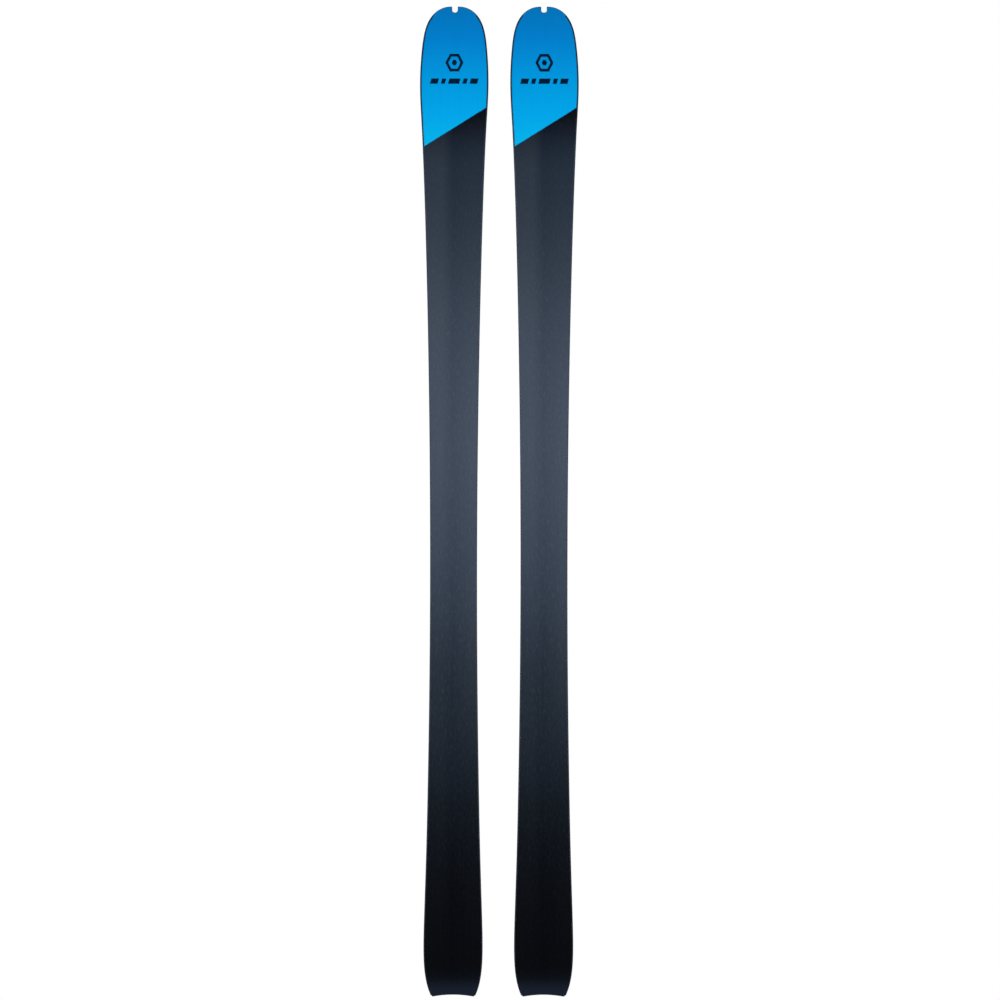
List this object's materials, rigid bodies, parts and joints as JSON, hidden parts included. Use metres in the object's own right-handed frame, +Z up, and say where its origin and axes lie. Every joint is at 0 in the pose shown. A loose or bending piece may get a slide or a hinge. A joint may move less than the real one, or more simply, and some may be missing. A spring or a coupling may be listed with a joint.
{
  "type": "pair of touring skis",
  "caption": "Pair of sidecut touring skis without bindings, with rockered slotted tips, blue tip inlays in black running bases, steel edges and wood-core sandwich layers.",
  "frame": {"origin": "on the snow plane under the skis, at mid-length, midway between the two skis", "axes": "+X along the skis towards the tips, +Y towards the skier's left, +Z up from the snow"},
  "size_m": [1.7, 0.2708, 0.0624],
  "materials": {
    "base_black": "sintered polyethylene, fine lengthwise grain, satin",
    "base_blue": "sintered polyethylene with the print under it, satin",
    "steel_edge": "ground steel, fine lengthwise scratches",
    "rubber_foil": "thin vulcanised foil",
    "fibre_laminate": "glass fibre in epoxy, translucent",
    "carbon_laminate": "glass and carbon fibre in epoxy",
    "paulownia_wood": "light open-grained wood, machined",
    "poplar_wood": "denser straight-grained wood, machined",
    "sidewall_abs": "planed and sanded, satin",
    "spacer_plastic": "moulded filler, satin",
    "mount_plate": "dense fibre-resin sheet",
    "topsheet_film": "textured polyamide film, matt"
  },
  "bodies": {
    "left_ski": {"left_base_main": "base_black", "left_base_tip_inlay": "base_blue", "left_edge_inner": "steel_edge", "left_edge_outer": "steel_edge", "left_edge_rubber": "rubber_foil", "left_inner_laminate": "fibre_laminate", "left_lower_laminate": "fibre_laminate", "left_core_paulownia": "paulownia_wood", "left_core_poplar": "poplar_wood", "left_binding_plate": "mount_plate", "left_sidewall_inner": "sidewall_abs", "left_sidewall_outer": "sidewall_abs", "left_tip_spacer": "spacer_plastic", "left_tail_spacer": "spacer_plastic", "left_upper_laminate": "carbon_laminate", "left_topsheet": "topsheet_film"},
    "right_ski": {"right_base_main": "base_black", "right_base_tip_inlay": "base_blue", "right_edge_inner": "steel_edge", "right_edge_outer": "steel_edge", "right_edge_rubber": "rubber_foil", "right_inner_laminate": "fibre_laminate", "right_lower_laminate": "fibre_laminate", "right_core_paulownia": "paulownia_wood", "right_core_poplar": "poplar_wood", "right_binding_plate": "mount_plate", "right_sidewall_inner": "sidewall_abs", "right_sidewall_outer": "sidewall_abs", "right_tip_spacer": "spacer_plastic", "right_tail_spacer": "spacer_plastic", "right_upper_laminate": "carbon_laminate", "right_topsheet": "topsheet_film"}
  },
  "joints": [
    {"name": "right_ski_glide", "type": "slide", "parent": "left_ski", "child": "right_ski", "axis": [1, 0, 0], "range_m": [-0.35, 0.35]}
  ]
}
